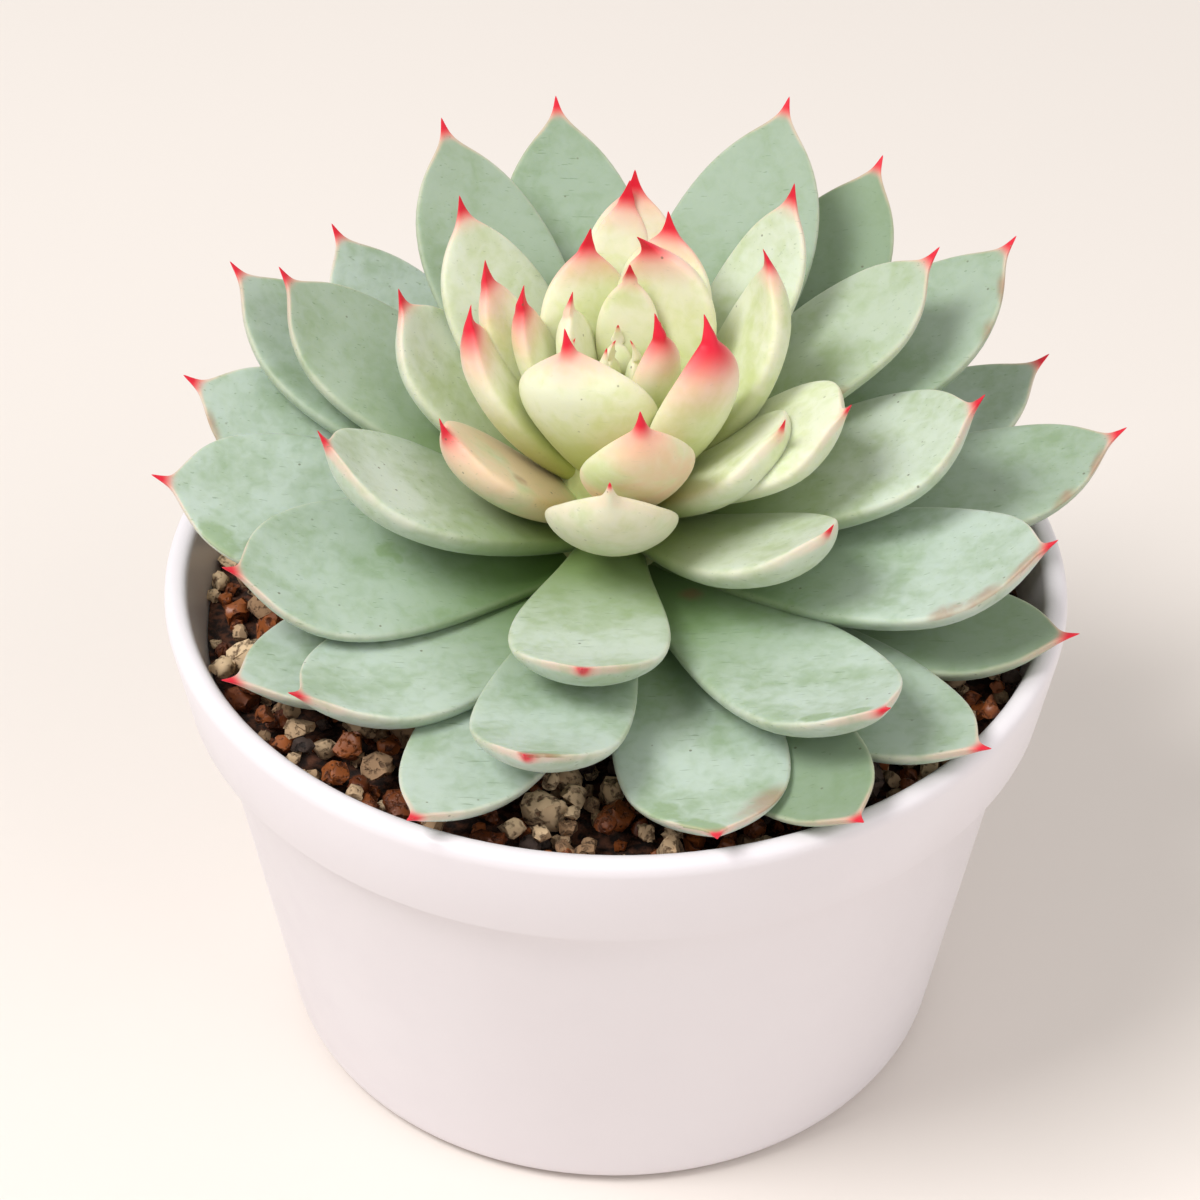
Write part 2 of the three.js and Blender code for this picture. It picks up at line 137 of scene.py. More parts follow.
def relief(finish, shader, height, depth):
    """Small relief in the surface, of this depth in metres."""
    bump = node(finish, "Bump", {"Height": height, "Distance": depth, "Strength": 1.0})
    finish.node_tree.links.new(bump.outputs[0], shader.inputs["Normal"])


def object_place(finish):
    return finish.node_tree.nodes.new("ShaderNodeTexCoord").outputs["Object"]


def srgb(red, green, blue):
    """A colour as it looks on a screen, from 0 to 255, as the light that it stands for."""
    def light(level):
        level = level / 255
        return level / 12.92 if level <= 0.04045 else ((level + 0.055) / 1.055) ** 2.4
    return (light(red), light(green), light(blue), 1)


def darker(colour, share):
    return tuple(share * channel for channel in colour[:3]) + (1,)


clear_selection()
bpy.ops.mesh.primitive_plane_add(size=FLOOR_SIZE)
floor = bpy.context.object
floor.name = "floor"
floor_paint, floor_shader = new_finish("floor paint", Roughness=0.7)
shade = noise(floor_paint, object_place(floor_paint), FLOOR_CLOUDS)
tone = blend_colours(floor_paint, shade, FLOOR_COLOUR, darker(FLOOR_COLOUR, CLOUD_DARKNESS))
floor_paint.node_tree.links.new(tone, floor_shader.inputs["Base Color"])
floor.data.materials.append(floor_paint)

sky = bpy.data.worlds.new("sky")
bpy.context.scene.world = sky
sky.use_nodes = True
sky.node_tree.nodes["Background"].inputs[0].default_value = SKY_COLOUR
sky.node_tree.nodes["Background"].inputs[1].default_value = SKY_STRENGTH
for name, (where, size, power) in LIGHTS.items():
    lamp = bpy.data.objects.new(name, bpy.data.lights.new(name, "AREA"))
    bpy.context.scene.collection.objects.link(lamp)
    lamp.data.size = size
    lamp.data.energy = power
    lamp.location = where
    lamp.rotation_euler = (lamp.location - CAMERA_AIM).to_track_quat("Z", "Y").to_euler()
bpy.context.scene.view_settings.view_transform = "Standard"

# Pot
# One moulded white plastic pot, 11 cm across, with a rolled lip, a deep collar, and a body that
# narrows to a flat base. The base has a shallow ring channel with six drain holes in it.
POT_HEIGHT = 65.3 * MM
RIM_RADIUS = 55 * MM
LIP_WIDTH = 3 * MM
LIP_ROUNDING = 1.8 * MM
COLLAR_FOOT = 51.8 * MM
COLLAR_STEP = 0.6 * MM
COLLAR_FOOT_RADIUS = 53.1 * MM
BODY_TOP_RADIUS = 50.4 * MM
BASE_RADIUS = 41.9 * MM
BASE_CORNER = 3 * MM
WALL = 2.2 * MM
SHOULDER = 47.8 * MM
POT_FLOOR = 3 * MM
DRAIN_RING_RADIUS = 26 * MM
DRAIN_HOLE_RADIUS = 3 * MM
DRAIN_HOLES = 6
CHANNEL_HALF_WIDTH = 5.5 * MM
CHANNEL_DEPTH = 1.2 * MM
POT_SIDES = 144
ARC_STEPS = 6
BASE_DISC = 0.1 * MM
EDGE_SOFTNESS = 0.4 * MM
SHARP_EDGE = math.radians(28)
DRILL_SIDES = 24


def select_faces(obj, wanted):
    """In edit mode: selects only the faces for which wanted(face) is true."""
    bpy.ops.object.mode_set(mode="OBJECT")
    for edge in obj.data.edges:
        edge.select = False
    for vertex in obj.data.vertices:
        vertex.select = False
    for face in obj.data.polygons:
        face.select = wanted(face)
    bpy.ops.object.mode_set(mode="EDIT")
    bpy.ops.mesh.select_mode(type="FACE")


def next_ring(state, radius, height):
    """Extrudes the selected cap to a new height, and widens or narrows it to a new radius."""
    was_radius, was_height = state
    bpy.ops.mesh.extrude_region_move(TRANSFORM_OT_translate={"value": (0, 0, height - was_height)})
    widen = radius / was_radius
    bpy.ops.transform.resize(value=(widen, widen, 1), center_override=(0, 0, height))
    return radius, height


def apply_modifier(obj, kind, **settings):
    modifier = obj.modifiers.new(kind.lower(), kind)
    for setting, value in settings.items():
        setattr(modifier, setting, value)
    bpy.context.view_layer.objects.active = obj
    bpy.ops.object.modifier_apply(modifier=modifier.name)


def body_radius(height):
    return BASE_RADIUS + (BODY_TOP_RADIUS - BASE_RADIUS) * height / COLLAR_FOOT


def quarter(start, corner, end):
    """The rest of a rounded corner from start to end, as points of radius and height."""
    for step in range(1, ARC_STEPS + 1):
        t = step / ARC_STEPS
        yield tuple((1 - t) ** 2 * a + 2 * t * (1 - t) * b + t * t * c
                    for a, b, c in zip(start, corner, end))


clear_selection()
bpy.ops.mesh.primitive_cylinder_add(vertices=POT_SIDES, radius=BASE_RADIUS - BASE_CORNER,
                                    depth=BASE_DISC, location=(0, 0, BASE_DISC / 2))
pot = bpy.context.object
pot.name = "pot_moulded"
bpy.ops.object.transform_apply(location=True)
select_faces(pot, lambda face: face.normal.z > 0.9)
ring = (BASE_RADIUS - BASE_CORNER, BASE_DISC)
outside = [
    *quarter((BASE_RADIUS - BASE_CORNER, 0), (BASE_RADIUS, 0),
             (body_radius(BASE_CORNER), BASE_CORNER)),
    (BODY_TOP_RADIUS, COLLAR_FOOT),
    (COLLAR_FOOT_RADIUS, COLLAR_FOOT + COLLAR_STEP),
    (RIM_RADIUS, POT_HEIGHT - LIP_ROUNDING),
    *quarter((RIM_RADIUS, POT_HEIGHT - LIP_ROUNDING), (RIM_RADIUS, POT_HEIGHT),
             (RIM_RADIUS - LIP_WIDTH / 2, POT_HEIGHT)),
    *quarter((RIM_RADIUS - LIP_WIDTH / 2, POT_HEIGHT), (RIM_RADIUS - LIP_WIDTH, POT_HEIGHT),
             (RIM_RADIUS - LIP_WIDTH, POT_HEIGHT - LIP_ROUNDING)),
    (body_radius(SHOULDER) - WALL, SHOULDER),
    (body_radius(POT_FLOOR) - WALL, POT_FLOOR),
]
for radius, height in outside:
    ring = next_ring(ring, radius, height)
select_faces(pot, lambda face: face.normal.z < -0.9 and abs(face.center.z) < BASE_DISC / 10)
ring = (BASE_RADIUS - BASE_CORNER, 0)
for radius, height in ((DRAIN_RING_RADIUS + CHANNEL_HALF_WIDTH, 0),
                       (DRAIN_RING_RADIUS + CHANNEL_HALF_WIDTH, CHANNEL_DEPTH),
                       (DRAIN_RING_RADIUS - CHANNEL_HALF_WIDTH, CHANNEL_DEPTH),
                       (DRAIN_RING_RADIUS - CHANNEL_HALF_WIDTH, 0)):
    ring = next_ring(ring, radius, height)
clear_selection()
bpy.context.view_layer.objects.active = pot
apply_modifier(pot, "BEVEL", width=EDGE_SOFTNESS, segments=3, limit_method="ANGLE",
               angle_limit=SHARP_EDGE)
for hole in range(DRAIN_HOLES):
    angle = hole * 2 * math.pi / DRAIN_HOLES
    where = (DRAIN_RING_RADIUS * math.cos(angle), DRAIN_RING_RADIUS * math.sin(angle), 0)
    clear_selection()
    bpy.ops.mesh.primitive_cylinder_add(vertices=DRILL_SIDES, radius=DRAIN_HOLE_RADIUS,
                                        depth=4 * POT_FLOOR, location=where)
    drill = bpy.context.object
    apply_modifier(pot, "BOOLEAN", object=drill, operation="DIFFERENCE", solver="EXACT")
    bpy.data.objects.remove(drill)
clear_selection()
pot.select_set(True)
bpy.context.view_layer.objects.active = pot
bpy.ops.object.shade_smooth_by_angle(angle=SHARP_EDGE)

white_plastic, pot_shader = new_finish("white plastic", Specular_IOR_Level=0.45)
pot_place = object_place(white_plastic)
tone = noise(white_plastic, pot_place, 30 * MM)
tone = blend_colours(white_plastic, tone, srgb(230, 223, 227), srgb(236, 231, 235))
white_plastic.node_tree.links.new(tone, pot_shader.inputs["Base Color"])
gloss = ramp(white_plastic, noise(white_plastic, pot_place, 6 * MM, 4), 0.35, 0.75, 0.34, 0.48)
white_plastic.node_tree.links.new(gloss, pot_shader.inputs["Roughness"])
relief(white_plastic, pot_shader, noise(white_plastic, pot_place, 0.8 * MM, 3), 0.02 * MM)
pot.data.materials.append(white_plastic)
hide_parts("pot")
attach(pot, "root")

# Soil
# A gritty mix fills the pot to about 5 mm under its lip: cream pumice and red clay grains of 3 to
# 6 mm lie loose on a bed of finer grit, painted very dark: partly its own colour, partly painted shade
# of the gaps between the grains. The stem stands in a plain hole in the bed.
BED_HEIGHT = 58 * MM
BED_FOOT = 3.3 * MM
STEM_HOLE_RADIUS = 8.3 * MM
STEM_HOLE_FOOT = 37.7 * MM
BED_GAP = 0.3 * MM
BED_DISC = 1 * MM
BED_SIDES = 72
BED_TOP_RINGS = 16
GROUND_LUMPS = 2.5 * MM
GROUND_RELIEF = 1.2 * MM
GROUND_LEVEL = 0.9
FINE_GRAINS = 700
SMALLEST_FINE_GRAIN = 0.8 * MM
LARGEST_FINE_GRAIN = 1.3 * MM
LOOSE_GRAINS = 2800
SMALLEST_GRAIN = 1.1 * MM
LARGEST_GRAIN = 3.3 * MM
HIGHEST_GRAIN_TOP = 63 * MM
GRAIN_SHAPES = 9
GRAIN_SEED = 5
GRAIN_CUTS = 6
SHALLOWEST_CUT = 0.8
DEEPEST_CUT = 0.45
GRAIN_WEAR = 0.14
GRAIN_PROPORTIONS = (1.2, 1.0, 0.9)
GRAIN_NARROWING = 0.03
GRAIN_WELD = 0.1
GRAIN_EDGE = math.radians(50)
GRAIN_OVERLAP = 1 * MM
BEDDING = 0.3
TOP_OF_GRAIN = 0.8
CONTACT = 0.88
NESTLING = 0.9


def inner_radius(height):
    """The radius of the pot's inner wall above its shoulder."""
    low = body_radius(SHOULDER) - WALL
    up_the_wall = (height - SHOULDER) / (POT_HEIGHT - LIP_ROUNDING - SHOULDER)
    return low + (RIM_RADIUS - LIP_WIDTH - low) * up_the_wall


clear_selection()
bed_radius = inner_radius(BED_HEIGHT) - BED_GAP
foot_radius = body_radius(BED_FOOT) - WALL - BED_GAP
bpy.ops.mesh.primitive_cylinder_add(vertices=BED_SIDES, radius=foot_radius, depth=BED_DISC,
                                    location=(0, 0, BED_FOOT + BED_DISC / 2))
bed = bpy.context.object
bed.name = "soil_bed"
bpy.ops.object.transform_apply(location=True)
select_faces(bed, lambda face: face.normal.z > 0.9)
ring = (foot_radius, BED_FOOT + BED_DISC)
bed_rings = [(body_radius(SHOULDER) - WALL - BED_GAP, SHOULDER), (bed_radius, BED_HEIGHT)]
for step in range(1, BED_TOP_RINGS + 1):
    outwards = 1 - step / BED_TOP_RINGS
    bed_rings.append((STEM_HOLE_RADIUS + (bed_radius - STEM_HOLE_RADIUS) * outwards, BED_HEIGHT))
bed_rings.append((STEM_HOLE_RADIUS, STEM_HOLE_FOOT))
for radius, height in bed_rings:
    ring = next_ring(ring, radius, height)
clear_selection()
rough_ground = bpy.data.textures.new("rough ground", "CLOUDS")
rough_ground.noise_scale = GROUND_LUMPS
apply_modifier(bed, "DISPLACE", texture=rough_ground, texture_coords="GLOBAL", direction="Z",
               strength=GROUND_RELIEF, mid_level=GROUND_LEVEL)

grit_and_gap_shade, bed_shader = new_finish("grit and gap shade", Roughness=0.95)
bed_place = object_place(grit_and_gap_shade)
speck = noise(grit_and_gap_shade, bed_place, 1.2 * MM, 5)
# Very dark brown: partly the fine grit's own colour, partly painted shade of the gaps between the
# loose grains
tone = blend_colours(grit_and_gap_shade, ramp(grit_and_gap_shade, speck, 0.4, 0.65), srgb(34, 20, 14), srgb(96, 58, 40))
grit_and_gap_shade.node_tree.links.new(tone, bed_shader.inputs["Base Color"])
relief(grit_and_gap_shade, bed_shader, speck, 0.6 * MM)
bed.data.materials.append(grit_and_gap_shade)
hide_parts("soil")
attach(bed, "root")

random.seed(GRAIN_SEED)
lumps = []
for shape in range(GRAIN_SHAPES):
    clear_selection()
    bpy.ops.mesh.primitive_ico_sphere_add(subdivisions=2, radius=1)
    lump = bpy.context.object
    bpy.ops.object.mode_set(mode="EDIT")
    long, broad, thick = GRAIN_PROPORTIONS
    broad -= GRAIN_NARROWING * shape
    bpy.ops.transform.resize(value=(long, broad, thick), center_override=(0, 0, 0))
    for cut in range(GRAIN_CUTS):
        lean = Vector([random.uniform(-1, 1) for _ in range(3)]).normalized()
        bpy.ops.mesh.select_all(action="SELECT")
        bpy.ops.mesh.bisect(plane_co=random.uniform(DEEPEST_CUT, SHALLOWEST_CUT) * lean, plane_no=lean,
                            use_fill=True, clear_outer=True)
    bpy.ops.mesh.select_all(action="SELECT")
    bpy.ops.mesh.remove_doubles(threshold=GRAIN_WELD)
    bpy.ops.transform.vertex_random(offset=GRAIN_WEAR, uniform=0.7, seed=shape)
    bpy.ops.mesh.quads_convert_to_tris()
    bpy.ops.object.mode_set(mode="OBJECT")
    corners = np.empty(3 * len(lump.data.vertices))
    lump.data.vertices.foreach_get("co", corners)
    faces = [tuple(face.vertices) for face in lump.data.polygons]
    lumps.append((corners.reshape(-1, 3), faces))
    bpy.data.objects.remove(lump)


def drop_grains(count, small, large, grains):
    """Drops grains one by one, each down to the bed or to the grains that it first touches."""
    for _ in range(count):
        size = random.uniform(small, large)
        nearest = STEM_HOLE_RADIUS + size
        furthest = bed_radius + GRAIN_OVERLAP - size
        reach = math.sqrt(random.uniform(nearest ** 2, furthest ** 2))
        angle = random.uniform(0, 2 * math.pi)
        x = reach * math.cos(angle)
        y = reach * math.sin(angle)
        z = BED_HEIGHT + BEDDING * size
        if grains:
            known = np.array([g[:4] for g in grains])
            apart = np.hypot(known[:, 0] - x, known[:, 1] - y)
            contact = CONTACT * (known[:, 3] + size)
            over = apart < contact
            if over.any():
                lift = np.sqrt(contact[over] ** 2 - apart[over] ** 2)
                rests = known[over, 2] + NESTLING * lift
                z = max(z, rests.max())
        if z + TOP_OF_GRAIN * size < HIGHEST_GRAIN_TOP:
            grains.append((x, y, z, size))


grains = []
drop_grains(FINE_GRAINS, SMALLEST_FINE_GRAIN, LARGEST_FINE_GRAIN, grains)
drop_grains(LOOSE_GRAINS, SMALLEST_GRAIN, LARGEST_GRAIN, grains)


def grain_finish(name, pale, dark, roughness, pits):
    finish, shader = new_finish(name, Roughness=roughness)
    where = object_place(finish)
    tone_of_grain = node(finish, "Attribute", {}, attribute_name="tone").outputs["Fac"]
    flat = blend_colours(finish, tone_of_grain, dark, pale)
    # Pits in the grain: painted shade darkens them, and the same pattern gives the relief
    shaded_pits = ramp(finish, noise(finish, where, 0.9 * MM, 5), 0.3, 0.5)
    colour = blend_colours(finish, shaded_pits, darker(dark, 0.6), flat)
    finish.node_tree.links.new(colour, shader.inputs["Base Color"])
    relief(finish, shader, shaded_pits, pits)
    return finish


pumice = grain_finish("pumice", srgb(224, 196, 158), srgb(160, 124, 92), 0.9, 0.4 * MM)
red_clay = grain_finish("red clay", srgb(168, 94, 46), srgb(96, 46, 22), 0.4, 0.25 * MM)
dark_lava = grain_finish("dark lava", srgb(104, 84, 74), srgb(48, 36, 32), 0.8, 0.3 * MM)
kinds = {
    "pumice_grains": (0.42, pumice),
    "clay_grains": (0.48, red_clay),
    "lava_grains": (0.1, dark_lava),
}
shares = [share for share, _ in kinds.values()]
piles = {name: ([], [], []) for name in kinds}
for x, y, z, size in grains:
    name = random.choices(list(kinds), shares)[0]
    points, faces, tones = piles[name]
    corners, corner_faces = random.choice(lumps)
    spin = Matrix.Rotation(random.uniform(0, 6.28), 3, "Z")
    spin = spin @ Matrix.Rotation(random.uniform(0, 6.28), 3, "X")
    placed = size * corners @ np.array(spin).T + np.array((x, y, z))
    first = len(points)
    points.extend(placed.tolist())
    faces.extend(tuple(first + corner for corner in face) for face in corner_faces)
    tones.extend([random.random()] * len(placed))
for name, (points, faces, tones) in piles.items():
    mesh = bpy.data.meshes.new(name)
    mesh.from_pydata(points, [], faces)
    mesh.attributes.new("tone", "FLOAT", "POINT").data.foreach_set("value", tones)
    mesh.materials.append(kinds[name][1])
    pile = bpy.data.objects.new(name, mesh)
    bpy.context.scene.collection.objects.link(pile)
    clear_selection()
    pile.select_set(True)
    bpy.context.view_layer.objects.active = pile
    bpy.ops.object.shade_smooth_by_angle(angle=GRAIN_EDGE)
    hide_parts("soil")
    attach(pile, "root")

# Leaves
# Thick fleshy leaves grow from the stem in a spiral, oldest lowest and flattest. Each is a long
# spoon with a nearly flat upper face, a full underside and a sharp red spike at its tip, and has
# a powdery pale bloom. All are bent from one straight leaf. Sizes are in mm and degrees.
LOWEST_ROOT = 65
HIGHEST_ROOT = 83
ROOT_CROWDING = 1.6
ROOT_REACH = 3
THIN = 1.6
THICKER_WITH_WIDTH = 0.2
ABOVE_MARGINS = 0.18
HOLLOW = 0.1
TIP_UPTURN = 0.075
TIP_UPTURN_FROM = 0.7
SPIKE = 2.8
SPIKE_FOOT_WIDTH = 1.8
SPIKE_FOOT_THICKNESS = 1.2
MODEL_LENGTH = 50
MODEL_WIDTH = 20
MODEL_THICKNESS = 5.6
LEAF_CAGE_SIDES = 12
CAGE_FULLNESS = 1.045
YOUNG_PLUMPNESS = 2.2
PLUMPING_AGES = (0.5, 0.7)
NARROWEST_HALF = 0.3
MARK_SOFTNESS = 1.5
UNDERSIDE = -0.3
SPIKE_SHARES = ((0, 1.15), (0.3, 0.66), (0.65, 0.3), (1.02, 0.03))

# Width of the pointed and of the blunt leaf, and thickness, as shares of the leaf's own, at a
# share of the way from root to spike. The spike's own station comes after them.
LEAF_STATIONS = [
    (0, 0.36, 0.36, 0.55),
    (0.14, 0.5, 0.47, 0.76),
    (0.28, 0.67, 0.6, 0.93),
    (0.52, 0.95, 0.89, 1),
    (0.7, 0.97, 1, 0.9),
    (0.84, 0.77, 0.93, 0.76),
    (0.93, 0.46, 0.66, 0.56),
    (0.975, 0.2, 0.32, 0.36),
]
SPIKE_STATION = (1, 0.09, 0.1, 0.16)

# The leaves, oldest first. Where a leaf has marks, each is its distance from the tip, its place
# between the middle (0) and the margins (-1 and 1), and its radius. Blush is how far the red
# reaches, peach is how peach coloured the leaf is, and the shade value darkens and greens the
# whole leaf: painted shade for leaves that lie deeper in shade.
LEAVES = [
    dict(turn=44, rise=5, length=52, width=20, blunt=0.4),
    dict(turn=92, rise=6, length=53, width=21, blunt=0.3),
    dict(turn=142, rise=6, length=52, width=20, blunt=0.4),
    dict(turn=71, rise=10, length=55, width=20, blunt=0.3, curl=3),
    dict(turn=115, rise=11, length=54, width=21, blunt=0.3, curl=3),
    dict(turn=247, rise=1, length=55, width=18, blunt=0.2, curl=-4, sweep=6),
    dict(turn=213, rise=1, length=51, width=21, blunt=0.2, curl=-5),
    dict(turn=298, rise=1.5, length=57.5, width=16.5, blunt=0.8, roll=14, painted_shade=0.7),
    dict(turn=340, rise=1, length=55, width=20, blunt=0.5, painted_shade=0.65),
    dict(turn=316, rise=1, length=56, width=19, blunt=0.5, curl=-2, painted_shade=0.25),
    dict(turn=168, rise=17, length=54, width=19, blunt=0.6, curl=-2, roll=-21,
         scorched=[(6, -1, 1.6), (10, -1, 1.5)]),
    dict(turn=27, rise=7, length=59, width=20, blunt=0.3, curl=-3, painted_shade=0.3),
    dict(turn=135, rise=22, length=54, width=19, blunt=0.4),
    dict(turn=282, rise=-1, length=53.5, width=20.5, blunt=1, sweep=18, roll=5,
         rubbed=[(8, 0.75, 4), (4, 0.5, 3)], scorched=[(7, -0.9, 3)]),
    dict(turn=184, rise=11, length=54, width=22.5, blunt=1, curl=-10, roll=-13,
         rubbed=[(9, -0.8, 4), (15, -0.8, 5), (21, -0.75, 4)]),
    dict(turn=8, rise=8, length=61, width=21, blunt=0.7, curl=4, painted_shade=0.4,
         scorched=[(5, 1, 1.6), (10, 1, 1.6)]),
    dict(turn=225, rise=4, length=50, width=21.5, blunt=0.2, curl=12, sweep=8),
    dict(turn=57, rise=18, length=64, width=20, blunt=0.3, curl=5, painted_shade=0.75),
    dict(turn=99, rise=27, length=60, width=20.5, blunt=0.1, painted_shade=0.5),
    dict(turn=154, rise=22, length=56, width=22, blunt=0.2, curl=2, painted_shade=0.25),
    dict(turn=259.5, rise=8, length=52.5, width=18.5, blunt=1, curl=19,
         rubbed=[(4, -0.3, 2.2), (5, -0.6, 2.6)], scorched=[(2.5, -0.4, 1.6), (3, -0.7, 1.6)]),
    dict(turn=203, rise=8.5, length=48, width=23, blunt=0.5, curl=3, roll=-13, painted_shade=0.2,
         rubbed=[(22, 0.15, 3)]),
    dict(turn=304, rise=8, length=53, width=20.5, blunt=0.7, curl=15,
         rubbed=[(5, 0.5, 2.4), (8, 0.7, 2.4)], scorched=[(40, 0, 1.6)]),
    dict(turn=339, rise=12, length=54, width=23, blunt=0.7, curl=14, sweep=-6, roll=3,
         scorched=[(4, 0.95, 2.2), (8, 0.95, 2.2), (12, 0.95, 2)]),
    dict(turn=30, rise=21, length=59, width=22, blunt=0.2, painted_shade=0.4,
         scorched=[(6, 1, 1.5), (11, 1, 1.5)]),
    dict(turn=67, rise=28, length=60, width=21, blunt=0.1, curl=6, roll=4, painted_shade=0.45),
    dict(turn=120, rise=35, length=54, width=19, blunt=0.2, curl=5, painted_shade=0.45),
    dict(turn=157, rise=27, length=49, width=21, blunt=0.4, curl=6, painted_shade=0.45),
    dict(turn=265, rise=12, length=40.5, width=19, blunt=1, curl=8, sweep=-5),
    dict(turn=198, rise=28, length=40, width=21, blunt=0.4, curl=18, sweep=5),
    dict(turn=0, rise=21, length=45, width=23, blunt=0.5, curl=15),
    dict(turn=27, rise=29, length=48, width=17, blunt=0.7, curl=-8, sweep=6, painted_shade=0.3,
         scorched=[(20, 1, 1)]),
    dict(turn=316, rise=24, length=36, width=17, blunt=0.4, curl=24, blush=0.7),
    dict(turn=158, rise=40, length=36, width=17, blunt=0.4, curl=20),
    dict(turn=47, rise=45, length=43, width=13, blunt=0.4, curl=16, roll=-3),
    dict(turn=132, rise=45, length=40, width=16, blunt=0, curl=8, sweep=5),
    dict(turn=206, rise=40, length=28, width=15.5, blunt=0.3, curl=12,
         peach=0.6, scorched=[(12, -0.6, 1.1)]),
    dict(turn=268, rise=40, length=30, width=16.2, blunt=0.1, curl=28, peach=0.2, blush=0.3),
    dict(turn=341, rise=35, length=33, width=17.5, blunt=1.1, sweep=18, roll=10, blush=0.5),
    dict(turn=330, rise=41, length=27.5, width=16.5, blunt=0.7, curl=10, sweep=8, roll=5, blush=0.5),
    dict(turn=21, rise=60, length=35.5, width=15.5, blunt=0, curl=40, sweep=-11, roll=-7, blush=0.8),
    dict(turn=85, rise=60, length=37, width=13, blunt=0.3, curl=12),
    dict(turn=87, rise=61, length=35.5, width=9.5, blunt=0.1, curl=13, sweep=12, roll=4),
    dict(turn=68, rise=63, length=32, width=14, blunt=0.1, curl=8, sweep=-8, roll=-4),
    dict(turn=155, rise=57, length=30, width=10, blunt=0.1, curl=6, sweep=3),
    dict(turn=181, rise=56, length=29, width=12.5, blunt=0.1, curl=25, sweep=8, blush=1.2),
    dict(turn=277, rise=49, length=30.5, width=14, blunt=0, curl=31, sweep=5, roll=3,
         peach=0.75, blush=0.7),
    dict(turn=167, rise=67, length=26, width=9, blunt=0, curl=8, blush=1.15),
    dict(turn=108, rise=68, length=28, width=13, blunt=-0.3, curl=6, sweep=15, roll=4, blush=1.0),
    dict(turn=72, rise=79, length=30, width=14, blunt=0.1, curl=40, sweep=-45, roll=-8, blush=1.0),
    dict(turn=322, rise=67, length=29, width=13, blunt=-0.4, curl=50, sweep=-4, roll=-8, blush=1.55),
    dict(turn=235, rise=69, length=25, width=18, blunt=-0.7, curl=8, sweep=18, roll=14, blush=0.75),
    dict(turn=319, rise=80, length=22.5, width=8.5, blunt=0, curl=6, blush=1.1),
    dict(turn=77, rise=83, length=23.5, width=8, blunt=0, curl=4, roll=7, blush=0.6),
    dict(turn=154, rise=77, length=20, width=8.5, blunt=0.2, curl=-8, roll=9, blush=0.45),
]

clear_selection()
bpy.ops.mesh.primitive_circle_add(vertices=LEAF_CAGE_SIDES, radius=1, fill_type="NGON",
                                  rotation=(math.pi / 2, 0, 0))
straight = bpy.context.object
straight.name = "straight_leaf"
bpy.ops.object.transform_apply(rotation=True)
first_width = LEAF_STATIONS[0][1] * MODEL_WIDTH / 2
first_thickness = LEAF_STATIONS[0][3] * MODEL_THICKNESS
for vertex in straight.data.vertices:
    share = ABOVE_MARGINS if vertex.co.z > 0 else 1 - ABOVE_MARGINS
    vertex.co = (vertex.co.x * first_width, 0, vertex.co.z * first_thickness * share)
select_faces(straight, lambda face: True)
body = MODEL_LENGTH - SPIKE
rings = [(at * body, wide * MODEL_WIDTH / 2, thick * MODEL_THICKNESS)
         for at, wide, _, thick in LEAF_STATIONS]
rings += [(body + at * SPIKE, share * SPIKE_FOOT_WIDTH / 2, share * SPIKE_FOOT_THICKNESS)
          for at, share in SPIKE_SHARES]
for (was_y, was_half, was_thick), (y, half, thick) in zip(rings, rings[1:]):
    bpy.ops.mesh.extrude_region_move(TRANSFORM_OT_translate={"value": (0, y - was_y, 0)})
    bpy.ops.transform.resize(value=(half / was_half, 1, thick / was_thick), center_override=(0, y, 0))
bpy.ops.mesh.merge(type="COLLAPSE")
bpy.ops.mesh.select_all(action="SELECT")
bpy.ops.mesh.normals_make_consistent(inside=False)
bpy.ops.object.mode_set(mode="OBJECT")
straight_points = np.empty(3 * len(straight.data.vertices))
straight.data.vertices.foreach_get("co", straight_points)
straight_points = straight_points.reshape(-1, 3)

skin, leaf_shader = new_finish("powdery leaf skin", Subsurface_Weight=0.25,
                               Subsurface_Scale=1.5 * MM, Sheen_Weight=0.12,
                               Specular_IOR_Level=0.35)
leaf_shader.inputs["Subsurface Radius"].default_value = (1, 0.9, 0.4)


def grown(name):
    return node(skin, "Attribute", {}, attribute_name=name).outputs["Fac"]


from_tip = grown("from_tip")
from_margin = grown("from_margin")
from_root = grown("from_root")
youth = grown("youth")
blush_of_leaf = grown("blush")
peach_of_leaf = grown("peach")
painted_shade = grown("painted_shade")
rubbed = grown("rubbed")
scorched = grown("scorched")
leaf_place = object_place(skin)
soft_clouds = noise(skin, leaf_place, 7 * MM, 3, 0.3)
small_clouds = noise(skin, leaf_place, 1.6 * MM, 5, 0.4)
soft_share = calc(skin, "MULTIPLY", soft_clouds, 0.6)
clouds = calc(skin, "ADD", soft_share, calc(skin, "MULTIPLY", small_clouds, 0.4))

# The powder lies thinner at the root, where leaves rub on each other, and in cloudy patches
powder = ramp(skin, clouds, 0.26, 0.62, 0.2, 1)
powder = calc(skin, "MULTIPLY", powder, ramp(skin, from_root, 0.05, 0.6, 0.3, 1))
old_skin = blend_colours(skin, powder, srgb(144, 167, 130), srgb(186, 201, 188))
young_skin = blend_colours(skin, powder, srgb(208, 218, 146), srgb(234, 236, 208))
maturing = ramp(skin, youth, 0.42, 0.86)
colour = blend_colours(skin, maturing, old_skin, young_skin)
# Painted shade: whole leaves that lie deeper in shade are painted darker and greener
colour = blend_colours(skin, painted_shade, colour, srgb(118, 141, 102))
# Darker and greener towards the root: partly the skin's own deeper green, partly painted shade in the
# crevices between the leaves
root_skin_and_shade = blend_colours(skin, maturing, srgb(94, 130, 50), srgb(186, 196, 98))
colour = blend_colours(skin, ramp(skin, from_root, 0.1, 0.75, 0.9, 0), colour, root_skin_and_shade)

